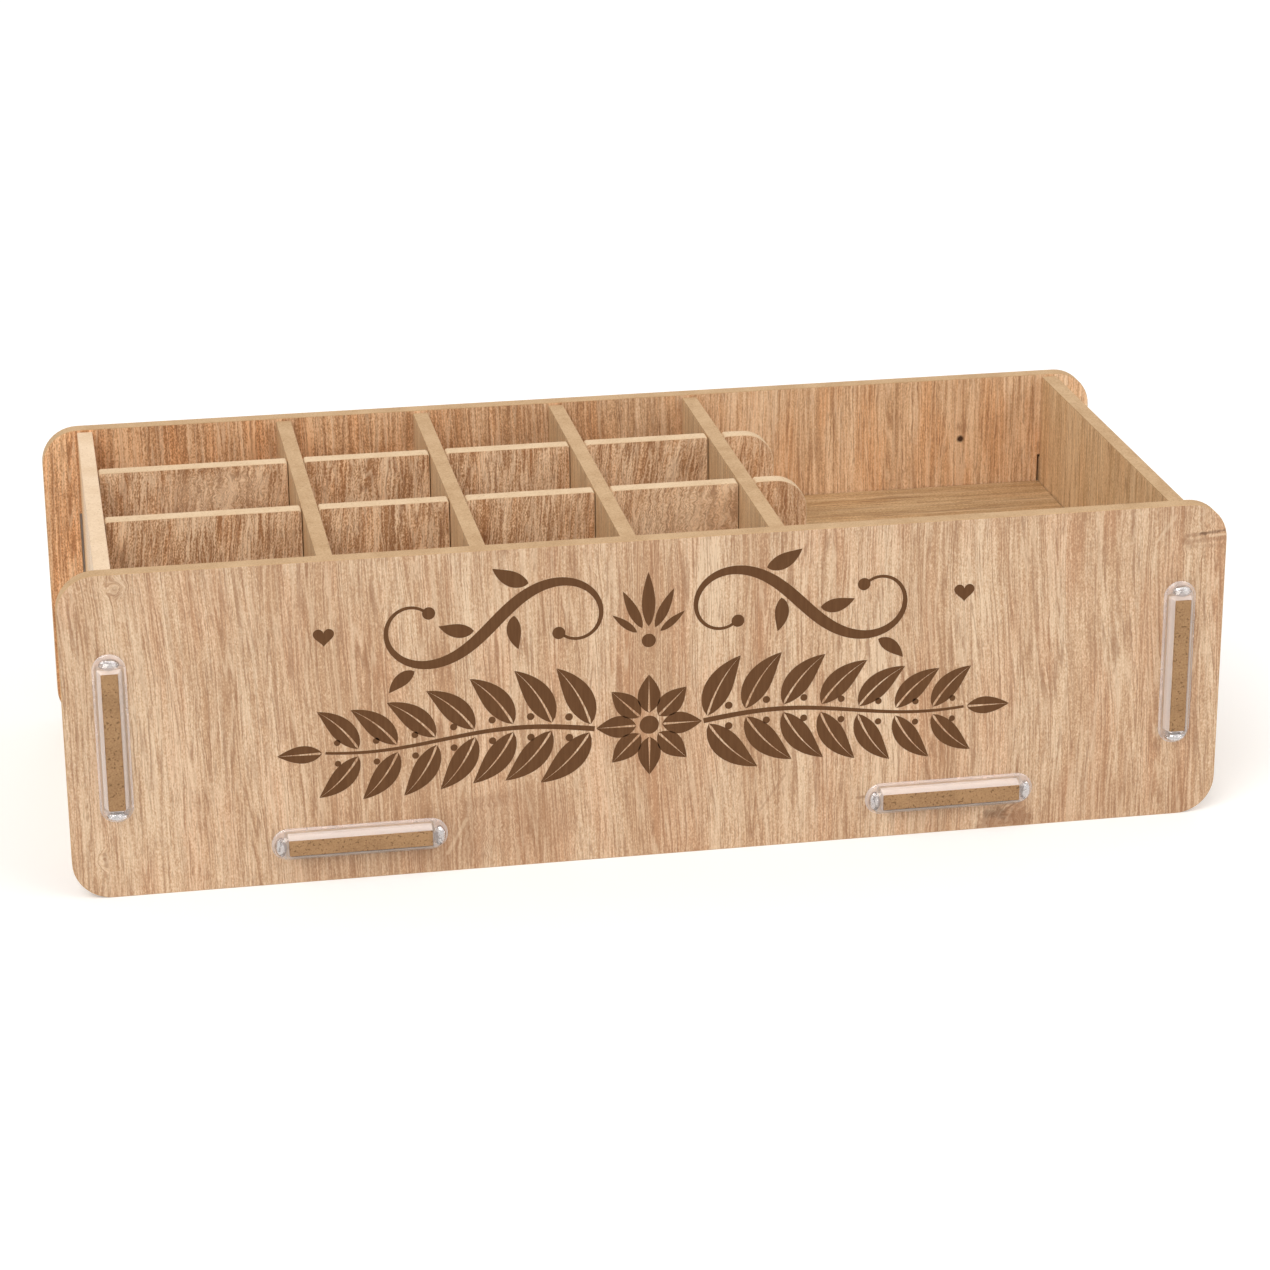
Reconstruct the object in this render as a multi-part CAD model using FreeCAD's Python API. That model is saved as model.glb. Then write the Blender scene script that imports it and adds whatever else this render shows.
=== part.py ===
"""Vanity organizer: a slot-together box of decor board with an egg-crate divider insert.

Frame: millimetres, +Z up, +X along the long front, -Y towards the user. The origin is the middle
of the footprint, on the surface that the box stands on.
"""
import FreeCAD, Part
import os
from math import sin, tan
from FreeCAD import Placement, Rotation, Vector

# Board and case
board = 5.0                 # thickness of every board
panel_length = 361.0        # front and back panels, along X
panel_height = 104.0
panel_corner = 12.0         # corner radius of the front and back panels
case_depth = 152.0          # front face of the front panel to rear face of the back panel
side_inset = 12.0           # outer face of a side panel, from the end of the front panel
top_drop = 0.9              # side panels and dividers stay this far below the panels' top edge
side_rise = 0.9             # side panels stay this far above the table
floor_rise = 10.7           # underside of the floor above the table

# Tabs, their slots and the clips pushed on to them
tab_length = 44.0
tab_proud = 4.2             # tab end beyond the outer face of its panel
tab_clearance = 0.7         # gap round a tab in its slot
floor_tab_spacing = 186.0   # centre to centre of the two floor tabs on one edge
clip_wall = 2.6             # clip outline beyond the long side of the tab
clip_lip = 0.3              # crown of the clip above the tab end
clip_round = 4.0            # rounding from the clip's outline up to its crown

# Divider insert
first_column = 61.0         # clear width of the leftmost column
column = 41.2               # clear width of the other columns
cross_dividers = 4
front_row = 46.5            # clear depth of the front row
middle_row = 44.2           # clear depth of the middle row
nose_length = 17.0          # long dividers beyond the last cross divider
nose_corner = 10.0
mouth_round = 0.9           # rounded mouth of each lap slot
lap_clearance = 0.25        # gap on each side of a board in a lap slot
lap_seat_gap = 0.3          # gap between the two bottoms of a lap
drop_in_gap = 0.3           # loose pieces to the boards beside them

# Tray floor on the legs of the long dividers
tray_depth = 38.6           # panel top edge to the tray floor's upper face

# Levels and planes that follow from the sizes above
panel_half = panel_length / 2
outer_y = case_depth / 2
inner_y = outer_y - board
side_outer_x = panel_half - side_inset
side_inner_x = side_outer_x - board
top_z = panel_height - top_drop
floor_z = floor_rise + board
tray_z = panel_height - tray_depth
leg_z = tray_z - board
lap_z = (floor_z + top_z) / 2
tab_reach = outer_y + tab_proud
tab_half = tab_length / 2
mid_z = panel_height / 2
floor_mid_z = floor_rise + board / 2
side_mid_x = side_outer_x - board / 2
floor_tab_x = floor_tab_spacing / 2

same_point = 1e-6           # points closer than this are one point
round_limit = 0.95          # largest rounding as a share of the height or radius that it eats into

cross_x = [-side_inner_x + first_column + i * (column + board) for i in range(cross_dividers)]
last_cross_face = cross_x[-1] + board
nose_x = last_cross_face + nose_length
long_y = {
    "front": -inner_y + front_row,
    "back": -inner_y + front_row + board + middle_row,
}


def corner_points(before, corner, after, radius):
    """Start, middle and end of the arc that rounds one corner of an outline."""
    to_before = (before - corner).normalize()
    to_after = (after - corner).normalize()
    half_angle = to_before.getAngle(to_after) / 2
    setback = radius / tan(half_angle)
    bisector = (to_before + to_after).normalize()
    centre = corner + bisector * (radius / sin(half_angle))
    return corner + to_before * setback, centre - bisector * radius, corner + to_after * setback


def plate(corners, normal, thickness):
    """A board from its outline: corners are (point, radius), and a radius of 0 leaves a sharp corner."""
    edges = []
    ends = []
    for i, (point, radius) in enumerate(corners):
        if radius > 0:
            before = corners[i - 1][0]
            after = corners[(i + 1) % len(corners)][0]
            start, middle, end = corner_points(before, point, after, radius)
            ends.append((start, end, Part.Arc(start, middle, end).toShape()))
        else:
            ends.append((point, point, None))
    for i, (start, end, arc) in enumerate(ends):
        next_start = ends[(i + 1) % len(ends)][0]
        if arc:
            edges.append(arc)
        if not next_start.isEqual(end, same_point):
            edges.append(Part.LineSegment(end, next_start).toShape())
    face = Part.Face(Part.Wire(edges))
    return face.extrude(normal * thickness)


def block(low, high):
    """A box between two opposite corners."""
    size = high - low
    return Part.makeBox(size.x, size.y, size.z, low)


def tab_slots(outer_face_y, inner_face_y):
    """The four slots that the side and floor tabs pass through, between two faces of a panel."""
    low_y, high_y = sorted((outer_face_y, inner_face_y))
    long_half = tab_half + tab_clearance
    short_half = board / 2 + tab_clearance
    slots = []
    for side in (-1, 1):
        slots.append(block(Vector(side * side_mid_x - short_half, low_y, mid_z - long_half),
                           Vector(side * side_mid_x + short_half, high_y, mid_z + long_half)))
        slots.append(block(Vector(side * floor_tab_x - long_half, low_y, floor_mid_z - short_half),
                           Vector(side * floor_tab_x + long_half, high_y, floor_mid_z + short_half)))
    return slots


def long_panel(low_y):
    """Front or back panel: a rounded rectangle with four tab slots."""
    corners = [(Vector(x, low_y, z), panel_corner)
               for x, z in ((-panel_half, 0), (panel_half, 0),
                            (panel_half, panel_height), (-panel_half, panel_height))]
    panel = plate(corners, Vector(0, 1, 0), board)
    return panel.cut(tab_slots(low_y, low_y + board))


def side_panel(low_x):
    """Side panel: it butts on the long panels, and a tab at each end passes through them."""
    high_x = low_x + board
    body = block(Vector(low_x, -inner_y, side_rise), Vector(high_x, inner_y, top_z))
    tabs = block(Vector(low_x, -tab_reach, mid_z - tab_half), Vector(high_x, tab_reach, mid_z + tab_half))
    return body.fuse(tabs).removeSplitter()


def floor_panel():
    """Bottom board between the side panels, with two tabs on the front edge and two on the back."""
    half_x = side_inner_x - drop_in_gap
    floor = block(Vector(-half_x, -inner_y, floor_rise), Vector(half_x, inner_y, floor_z))
    for side in (-1, 1):
        tab_x = side * floor_tab_x
        floor = floor.fuse(block(Vector(tab_x - tab_half, -tab_reach, floor_rise),
                                 Vector(tab_x + tab_half, tab_reach, floor_z)))
    return floor.removeSplitter()


def obround(radius, height):
    """A long-hole shaped prism round the tab: straight along the tab, half round at both ends."""
    corners = [(Vector(x, y, 0), radius)
               for x, y in ((-tab_half - radius, -radius), (tab_half + radius, -radius),
                            (tab_half + radius, radius), (-tab_half - radius, radius))]
    return plate(corners, Vector(0, 0, 1), height)


def push_on_clip():
    """Clear clip with domed ends, its base at z = 0, the tab along X and the tab's end pointing up."""
    outline_radius = board / 2 + clip_wall
    height = tab_proud + clip_lip
    bead = obround(outline_radius, height)
    top_edges = [e for e in bead.Edges if all(abs(v.Point.z - height) < same_point for v in e.Vertexes)]
    fillet_limit = round_limit * min(height, outline_radius)
    bead = bead.makeFillet(min(clip_round, fillet_limit), top_edges)
    opening = block(Vector(-tab_half, -board / 2, 0), Vector(tab_half, board / 2, height))
    return bead.cut(opening)


def place_clip(centre_x, centre_z, upright, facing):
    """The clip on one tab: facing -1 is on the front panel, 1 on the back panel."""
    clip = push_on_clip()
    along = Rotation(Vector(0, 0, 1), 90 if upright else 0)
    outwards = Rotation(Vector(1, 0, 0), -90 * facing)
    clip.Placement = Placement(Vector(centre_x, facing * outer_y, centre_z), outwards.multiply(along))
    return clip


def cross_divider(low_x):
    """Front-to-back divider with two lap slots that are open at the bottom."""
    end_y = inner_y - drop_in_gap
    slot_top = lap_z + lap_seat_gap
    corners = [(Vector(low_x, -end_y, floor_z), 0)]
    for low_y in long_y.values():
        near, far = low_y - lap_clearance, low_y + board + lap_clearance
        corners += [(Vector(low_x, near, floor_z), mouth_round), (Vector(low_x, near, slot_top), 0),
                    (Vector(low_x, far, slot_top), 0), (Vector(low_x, far, floor_z), mouth_round)]
    corners += [(Vector(low_x, end_y, floor_z), 0), (Vector(low_x, end_y, top_z), 0),
                (Vector(low_x, -end_y, top_z), 0)]
    return plate(corners, Vector(1, 0, 0), board)


def long_divider(low_y):
    """Left-to-right divider: lap slots open at the top, a round nose, and a leg under the tray floor."""
    left_x = -side_inner_x + drop_in_gap
    right_x = side_inner_x - drop_in_gap
    corners = [(Vector(left_x, low_y, floor_z), 0), (Vector(right_x, low_y, floor_z), 0),
               (Vector(right_x, low_y, leg_z), 0), (Vector(nose_x, low_y, leg_z), 0),
               (Vector(nose_x, low_y, top_z), nose_corner)]
    for low_x in reversed(cross_x):
        near, far = low_x + board + lap_clearance, low_x - lap_clearance
        corners += [(Vector(near, low_y, top_z), mouth_round), (Vector(near, low_y, lap_z), 0),
                    (Vector(far, low_y, lap_z), 0), (Vector(far, low_y, top_z), mouth_round)]
    corners.append((Vector(left_x, low_y, top_z), mouth_round))
    return plate(corners, Vector(0, 1, 0), board)


def tray_floor():
    """Raised floor of the open compartment, notched round the noses of the long dividers."""
    left_x = last_cross_face + drop_in_gap
    right_x = side_inner_x - drop_in_gap
    end_y = inner_y - drop_in_gap
    tray = block(Vector(left_x, -end_y, leg_z), Vector(right_x, end_y, tray_z))
    notches = [block(Vector(left_x, low_y - lap_clearance, leg_z),
                     Vector(nose_x + drop_in_gap, low_y + board + lap_clearance, tray_z))
               for low_y in long_y.values()]
    return tray.cut(notches)


def build():
    """Every piece of the organizer, by node name."""
    pieces = {
        "front_panel": long_panel(-outer_y),
        "back_panel": long_panel(inner_y),
        "left_side_panel": side_panel(-side_outer_x),
        "right_side_panel": side_panel(side_inner_x),
        "floor_panel": floor_panel(),
        "tray_floor": tray_floor(),
    }
    for i, low_x in enumerate(cross_x, 1):
        pieces[f"cross_divider_{i}"] = cross_divider(low_x)
    for row, low_y in long_y.items():
        pieces[f"long_divider_{row}"] = long_divider(low_y)
    for face, facing in (("front", -1), ("back", 1)):
        for hand, side in (("left", -1), ("right", 1)):
            pieces[f"{face}_{hand}_side_clip"] = place_clip(side * side_mid_x, mid_z, True, facing)
            pieces[f"{face}_{hand}_floor_clip"] = place_clip(side * floor_tab_x, floor_mid_z, False, facing)
    return pieces


os.makedirs("parts", exist_ok=True)
for node, shape in build().items():
    shape.exportStep(f"parts/{node}.step")
    print(f"{node}: {len(shape.Solids)} solid, {shape.Volume:.1f} mm3, valid {shape.isValid()}")
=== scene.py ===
import math
import bmesh
import bpy
from mathutils import Matrix, Vector


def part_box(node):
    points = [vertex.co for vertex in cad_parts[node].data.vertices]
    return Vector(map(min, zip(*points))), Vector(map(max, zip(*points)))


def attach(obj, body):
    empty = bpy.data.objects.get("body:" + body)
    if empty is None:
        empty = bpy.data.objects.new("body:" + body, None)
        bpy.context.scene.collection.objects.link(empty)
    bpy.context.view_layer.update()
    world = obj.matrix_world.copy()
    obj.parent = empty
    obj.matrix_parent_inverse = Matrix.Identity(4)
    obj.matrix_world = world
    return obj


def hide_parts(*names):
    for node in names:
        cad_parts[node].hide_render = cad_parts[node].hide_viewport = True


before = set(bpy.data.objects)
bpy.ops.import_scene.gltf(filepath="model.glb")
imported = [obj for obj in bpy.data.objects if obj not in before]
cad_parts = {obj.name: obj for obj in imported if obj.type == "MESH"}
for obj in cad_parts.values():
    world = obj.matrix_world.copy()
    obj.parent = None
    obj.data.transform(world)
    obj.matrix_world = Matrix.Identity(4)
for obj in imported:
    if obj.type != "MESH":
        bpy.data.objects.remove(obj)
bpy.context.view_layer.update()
mm = 0.001
print("frame loaded:", len(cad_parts), "boards and clips")


# Node helpers

noiseSpan = (0.3, 0.7)                              # where most of a noise lies


def newMaterial(name):
    material = bpy.data.materials.new(name)
    material.use_nodes = True
    tree = material.node_tree
    shader = tree.nodes["Principled BSDF"]
    return material, tree, shader


def feed(tree, socket, value):                      # a link, or a plain number
    if isinstance(value, bpy.types.NodeSocket):
        tree.links.new(value, socket)
    else:
        socket.default_value = value


def calc(tree, operation, *values):
    node = tree.nodes.new("ShaderNodeMath")
    node.operation = operation
    for socket, value in zip(node.inputs, values):
        feed(tree, socket, value)
    return node.outputs[0]


def vectorCalc(tree, operation, *values):
    node = tree.nodes.new("ShaderNodeVectorMath")
    node.operation = operation
    for socket, value in zip(node.inputs, values):
        feed(tree, socket, value)
    return node.outputs["Value" if operation in ("LENGTH", "DOT_PRODUCT") else "Vector"]


def stretch(tree, value, low, high, toLow=0.0, toHigh=1.0, smooth=False):
    node = tree.nodes.new("ShaderNodeMapRange")
    node.interpolation_type = "SMOOTHSTEP" if smooth else "LINEAR"
    for name, number in (("From Min", low), ("From Max", high), ("To Min", toLow), ("To Max", toHigh)):
        node.inputs[name].default_value = number
    feed(tree, node.inputs["Value"], value)
    return node.outputs["Result"]


def joinPlace(tree, across, along, depth):
    node = tree.nodes.new("ShaderNodeCombineXYZ")
    for socket, value in zip(node.inputs, (across, along, depth)):
        feed(tree, socket, value)
    return node.outputs[0]


def objectPlace(tree, axes):                        # the piece's own coordinates in mm, in grain order
    coords = tree.nodes.new("ShaderNodeTexCoord")
    split = tree.nodes.new("ShaderNodeSeparateXYZ")
    tree.links.new(coords.outputs["Object"], split.inputs[0])
    return [calc(tree, "DIVIDE", split.outputs["XYZ".index(axis)], mm) for axis in axes]


def noiseAt(tree, place, size, detail=2.0, roughness=0.5):     # size of one blotch along each axis, mm
    noise = tree.nodes.new("ShaderNodeTexNoise")
    noise.inputs["Scale"].default_value = 1.0
    noise.inputs["Detail"].default_value = detail
    noise.inputs["Roughness"].default_value = roughness
    tree.links.new(vectorCalc(tree, "DIVIDE", place, size), noise.inputs["Vector"])
    return noise.outputs["Fac"]


def swing(tree, place, size, detail=2.0):           # noise to both sides of zero
    return calc(tree, "SUBTRACT", noiseAt(tree, place, size, detail), 0.5)


def toneRamp(tree, value, positions, colours):
    node = tree.nodes.new("ShaderNodeValToRGB")
    points = node.color_ramp.elements
    while len(points) < len(positions):
        points.new(0.5)
    for point, position, colour in zip(points, positions, colours):
        point.position = position
        point.color = (*colour, 1.0)
    feed(tree, node.inputs["Fac"], value)
    return node.outputs["Color"]


def blendColour(tree, amount, first, second, mode="MIX"):
    node = tree.nodes.new("ShaderNodeMix")
    node.data_type = "RGBA"
    node.blend_type = mode
    feed(tree, node.inputs[0], amount)
    for socket, value in ((node.inputs[6], first), (node.inputs[7], second)):      # the two colour inputs
        feed(tree, socket, value if isinstance(value, bpy.types.NodeSocket) else (*value, 1.0))
    return node.outputs[2]


def addBump(tree, shader, height, depth):
    node = tree.nodes.new("ShaderNodeBump")
    node.inputs["Strength"].default_value = 1.0
    node.inputs["Distance"].default_value = depth
    tree.links.new(height, node.inputs["Height"])
    tree.links.new(node.outputs["Normal"], shader.inputs["Normal"])


# Printed oak decor: axes are across the grain, along it, then through the board; sizes in mm

oakBase = {                                         # what the boards share, unless a look changes it
    "swaySize": (95, 120, 4), "trembleSize": (1.4, 2.4, 4),
    "swirlSize": (3.0, 2.2, 4), "wobbleSize": (1.8, 1.8, 4),
    "streakShare": 1.25, "bandShare": 0.6, "speckShare": 1.25, "tones": (0.24, 0.50, 0.76),
    "streakDetail": (4.0, 0.65), "speckSize": (0.38, 0.75, 3), "poreSpan": (0.58, 0.72),
    "vesselLines": {"levels": (0.38, 0.47, 0.56, 0.65), "width": 0.021},     # lines at levels of a noise
    "hairLines": {"levels": (0.42, 0.58), "width": 0.060},
    "paleShift": 0.036, "breaks": (1.5, 13, 3), "breakSpan": (0.38, 0.60),
    "blushSize": (9, 50, 5), "blushSpan": (0.44, 0.66), "blushMost": 0.75,
    "redSide": 0.0, "liveSide": 0.0, "redSpan": (-90.0, 70.0),
    "knotColour": (0.100, 0.045, 0.020), "knots": [], "swirls": [], "marks": [],
    "markSpan": (0.30, 0.62), "markShare": (1.2, 0.75),
    "rough": (0.44, 0.58), "specular": 0.35, "relief": 0.04 * mm,
}
oakLooks = {
    "oakFront": {
        "axes": "XZY", "lean": 0.03, "sway": 9.0, "curl": 0.8, "curlSize": (8, 20, 4), "tremble": 0.5,
        "band": (17, 130, 3), "streak": (1.25, 38, 3),
        "vessel": (4.4, 120, 3), "hair": (1.5, 60, 3), "dash": (0.4, 4, 3),
        "contrast": 0.86, "bandShare": 1.15, "speckShare": 1.12,
        "vesselStrength": 0.56, "hairStrength": 0.34, "paleStrength": 0.46, "poreStrength": 0.45,
        "dark": (0.465, 0.272, 0.150), "middle": (0.615, 0.412, 0.256), "light": (0.755, 0.570, 0.392),
        "poreColour": (0.290, 0.145, 0.072), "blush": (0.99, 0.90, 0.86),
        "knots": [
            {"across": -163.0, "along": 99.5, "size": 2.6, "slim": 1.1},
            {"across": 111.9, "along": 1.0, "size": 5.0, "slim": 1.0},
            {"across": -170.6, "along": 12.6, "size": 2.2, "slim": 0.8},
        ],
        "swirls": [
            {"across": -53.0, "along": 14.0, "size": 17.0, "amount": 2.6},
            {"across": 113.0, "along": 3.0, "size": 11.0, "amount": 3.2},
            {"across": 172.0, "along": 95.0, "size": 14.0, "amount": 2.2},
        ],
        "marks": [                                  # tint is poreColour unless named
            # crack at the top right corner, and a pale stroke beside it
            {"from": (167.5, 93.8), "to": (173.0, 94.2), "width": 0.9, "rough": 1.6, "strength": 0.60},
            {"from": (172.0, 94.2), "to": (179.8, 94.8), "width": 0.7, "rough": 1.3, "strength": 0.68,
             "tint": "knotColour"},
            {"from": (175.0, 93.2), "to": (179.8, 93.6), "width": 0.6, "rough": 0.8, "strength": 0.60,
             "tint": "light"},
            {"from": (166.5, 92.0), "to": (179.8, 92.3), "width": 1.2, "rough": 2.6, "strength": 0.46},
            {"from": (168.0, 90.2), "to": (179.5, 90.1), "width": 0.9, "rough": 2.8, "strength": 0.30},
            {"from": (157.5, 92.0), "to": (163.5, 100.5), "width": 0.8, "strength": 0.45, "tint": "light"},
            # broad faint patches along the foot
            {"from": (-66.0, 11.0), "to": (-38.0, 15.0), "width": 18.0, "rough": 14.0, "strength": 0.28},
            {"from": (-112.0, 4.0), "to": (-68.0, 8.0), "width": 14.0, "rough": 12.0, "strength": 0.18},
            {"from": (118.0, 5.0), "to": (160.0, 8.0), "width": 14.0, "rough": 10.0, "strength": 0.10},
            # dark knot under the right floor clip
            {"from": (106.0, 1.5), "to": (117.0, 2.5), "width": 5.0, "rough": 9.0, "strength": 0.70},
            {"from": (106.5, 5.4), "to": (110.5, 4.8), "width": 2.8, "rough": 4.5, "strength": 0.48,
             "tint": "knotColour"},
            {"from": (112.0, 1.5), "to": (114.0, 6.5), "width": 0.6, "rough": 1.6, "strength": 0.25,
             "tint": "light"},
            # small knots at the left end, then single strokes
            {"from": (-163.0, 99.0), "to": (-162.0, 97.5), "width": 2.2, "strength": 0.30},
            {"from": (-170.6, 14.5), "to": (-170.2, 10.5), "width": 1.0, "strength": 0.55},
            {"from": (-58.0, 22.0), "to": (-46.0, 23.5), "width": 3.2, "strength": 0.28},
            {"from": (-66.0, 6.0), "to": (-60.0, 17.0), "width": 0.9, "strength": 0.35, "tint": "light"},
            {"from": (32.3, 12.3), "to": (40.2, 23.6), "width": 0.6, "strength": 0.40},
            {"from": (63.5, 14.0), "to": (67.0, 14.2), "width": 0.7, "strength": 0.60},
            {"from": (146.0, 56.0), "to": (146.0, 53.0), "width": 1.6, "strength": 0.22},
        ],
    },
    "oakBack": {
        "axes": "XZY", "lean": -0.01, "sway": 6.0, "curl": 0.7, "curlSize": (7, 18, 4), "tremble": 0.7,
        "band": (12, 140, 3), "streak": (1.6, 34, 3),
        "vessel": (4.6, 170, 3), "hair": (2.2, 110, 3), "dash": (0.5, 5, 3),
        "contrast": 0.62, "speckShare": 0.95, "redSide": 0.9, "liveSide": 1.3,
        "vesselStrength": 0.44, "hairStrength": 0.30, "paleStrength": 0.38, "poreStrength": 0.42,
        "dark": (0.455, 0.262, 0.134), "middle": (0.740, 0.480, 0.280), "light": (0.925, 0.695, 0.470),
        "poreColour": (0.270, 0.125, 0.058), "blush": (1.0, 0.86, 0.74), "knotColour": (0.050, 0.020, 0.008),
        "marks": [                                  # one dark pin knot with a smudge above it
            {"from": (134.7, 82.2), "to": (134.7, 82.2), "width": 1.7, "rough": 0.5, "strength": 1.3,
             "tint": "knotColour"},
            {"from": (134.2, 86.5), "to": (136.5, 85.8), "width": 2.2, "strength": 0.28},
        ],
    },
    "oakDividerBack": {
        "axes": "XZY", "lean": -0.06, "sway": 16.0, "curl": 1.2, "curlSize": (6, 12, 4), "tremble": 0.8,
        "band": (7, 24, 3), "streak": (1.0, 18, 3),
        "vessel": (3.8, 60, 3), "hair": (1.5, 36, 3), "dash": (0.4, 3.5, 3),
        "contrast": 1.08, "bandShare": 0.8, "speckShare": 0.98, "redSide": 0.3, "liveSide": 0.3,
        "vesselStrength": 0.52, "hairStrength": 0.30, "paleStrength": 0.50, "poreStrength": 0.46,
        "dark": (0.415, 0.214, 0.100), "middle": (0.684, 0.430, 0.246), "light": (0.940, 0.708, 0.482),
        "poreColour": (0.260, 0.118, 0.056), "blush": (1.0, 0.90, 0.81),
        "swirls": [{"across": -124.0, "along": 93.0, "size": 26.0, "amount": 3.2}],
        "marks": [
            {"from": (-140.0, 93.0), "to": (-114.0, 95.0), "width": 9.0, "rough": 9.0, "strength": 0.20,
             "tint": "light"},
            {"from": (-126.0, 82.0), "to": (-104.0, 86.0), "width": 5.0, "rough": 6.0, "strength": 0.60},
            {"from": (-97.0, 83.0), "to": (-82.0, 84.0), "width": 5.0, "rough": 6.0, "strength": 0.60},
            {"from": (51.0, 78.0), "to": (51.0, 100.0), "width": 13.0, "rough": 8.0, "strength": 0.16,
             "tint": "dark"},
        ],
    },
    "oakCross": {
        "axes": "YZX", "lean": 0.0, "sway": 5.0, "curl": 0.8, "curlSize": (6, 14, 4), "tremble": 0.6,
        "band": (10, 110, 3), "streak": (2.4, 60, 3),
        "vessel": (4.4, 190, 3), "hair": (2.0, 120, 3), "dash": (0.5, 6, 3),
        "contrast": 1.15, "rough": (0.32, 0.44),
        "vesselStrength": 0.58, "hairStrength": 0.36, "paleStrength": 0.35, "poreStrength": 0.35,
        "dark": (0.560, 0.366, 0.188), "middle": (0.748, 0.520, 0.292), "light": (0.875, 0.652, 0.404),
        "poreColour": (0.300, 0.165, 0.080), "blush": (1.0, 0.92, 0.84),
    },
    "oakTray": {
        "axes": "YXZ", "lean": 0.0, "sway": 4.0, "curl": 0.6, "curlSize": (5, 18, 4), "tremble": 0.5,
        "band": (9, 120, 3), "streak": (2.4, 70, 3),
        "vessel": (4.4, 200, 3), "hair": (2.0, 130, 3), "dash": (0.5, 8, 3),
        "contrast": 1.25,
        "vesselStrength": 0.56, "hairStrength": 0.46, "paleStrength": 0.25, "poreStrength": 0.35,
        "dark": (0.400, 0.246, 0.114), "middle": (0.538, 0.354, 0.182), "light": (0.660, 0.468, 0.274),
        "poreColour": (0.240, 0.125, 0.058), "blush": (1.0, 0.92, 0.84),
    },
}
oakLooks["oakDividerFront"] = {
    **oakLooks["oakDividerBack"], "sway": 20.0,
    "swirls": [{"across": 26.0, "along": 88.0, "size": 40.0, "amount": 2.8}],
    "marks": [
        {"from": (2.0, 84.0), "to": (30.0, 94.0), "width": 16.0, "rough": 10.0, "strength": 0.20,
         "tint": "light"},
        {"from": (51.0, 78.0), "to": (51.0, 100.0), "width": 13.0, "rough": 8.0, "strength": 0.22,
         "tint": "dark"},
    ],
}

# shares of a knot's size, a mark's width and a swirl's size; mostRagged is in mm
knotShape = {"heart": 0.3, "reach": 1.8, "ragged": 0.8, "mostRagged": 3.0}
markShape = {"core": 0.25, "rough": 0.6}
swirlCore = 0.2


def roundKnot(tree, line, across, along, wobble, knot):     # near a knot the grain runs in uneven rings
    size = knot["size"]
    aside = calc(tree, "DIVIDE", calc(tree, "SUBTRACT", across, knot["across"]), knot["slim"])
    above = calc(tree, "SUBTRACT", along, knot["along"])
    away = vectorCalc(tree, "LENGTH", joinPlace(tree, aside, above, 0.0))
    away = calc(tree, "MULTIPLY_ADD", wobble, min(knotShape["mostRagged"], knotShape["ragged"] * size), away)
    near = stretch(tree, away, knotShape["heart"] * size, knotShape["reach"] * size, 1.0, 0.0, smooth=True)
    gap = calc(tree, "SUBTRACT", calc(tree, "ADD", away, knot["across"]), line)
    return calc(tree, "MULTIPLY_ADD", gap, near, line)


def boardMark(tree, spot, wobble, mark):            # how strongly a mark shows: a soft, ragged stroke
    start, end = Vector((*mark["from"], 0)), Vector((*mark["to"], 0))
    width = mark["width"]
    offset = vectorCalc(tree, "SUBTRACT", spot, start)
    run = end - start
    if run.length > 0:
        share = calc(tree, "MULTIPLY", vectorCalc(tree, "DOT_PRODUCT", offset, run), 1 / run.length_squared)
        share = stretch(tree, share, 0.0, 1.0)
        nearest = vectorCalc(tree, "MULTIPLY", joinPlace(tree, share, share, share), run)
        offset = vectorCalc(tree, "SUBTRACT", offset, nearest)
    ragged = mark.get("rough", markShape["rough"] * width)
    away = calc(tree, "MULTIPLY_ADD", wobble, ragged, vectorCalc(tree, "LENGTH", offset))
    return stretch(tree, away, markShape["core"] * width, width, mark["strength"], 0.0, smooth=True)


def linesAt(tree, field, lines, shift=0.0):         # thin lines where the noise passes each level
    total = 0.0
    for level in lines["levels"]:
        away = calc(tree, "ABSOLUTE", calc(tree, "SUBTRACT", field, level + shift))
        total = calc(tree, "MAXIMUM", total, stretch(tree, away, 0.0, lines["width"], 1.0, 0.0, smooth=True))
    return total


def grainLine(tree, look, across, along, flat, wobble):     # the grain leans, sways, curls and trembles
    line = calc(tree, "MULTIPLY_ADD", along, look["lean"], across)
    for bend in ("sway", "curl", "tremble"):
        line = calc(tree, "MULTIPLY_ADD", swing(tree, flat, look[bend + "Size"], 1.0), look[bend], line)
    for swirl in look["swirls"]:                    # patches of curly grain
        aside = calc(tree, "SUBTRACT", across, swirl["across"])
        above = calc(tree, "SUBTRACT", along, swirl["along"])
        away = vectorCalc(tree, "LENGTH", joinPlace(tree, aside, above, 0.0))
        core = swirlCore * swirl["size"]
        near = stretch(tree, away, core, swirl["size"], swirl["amount"], 0.0, smooth=True)
        line = calc(tree, "MULTIPLY_ADD", swing(tree, flat, look["swirlSize"]), near, line)
    for knot in look["knots"]:
        line = roundKnot(tree, line, across, along, wobble, knot)
    return line


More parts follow.
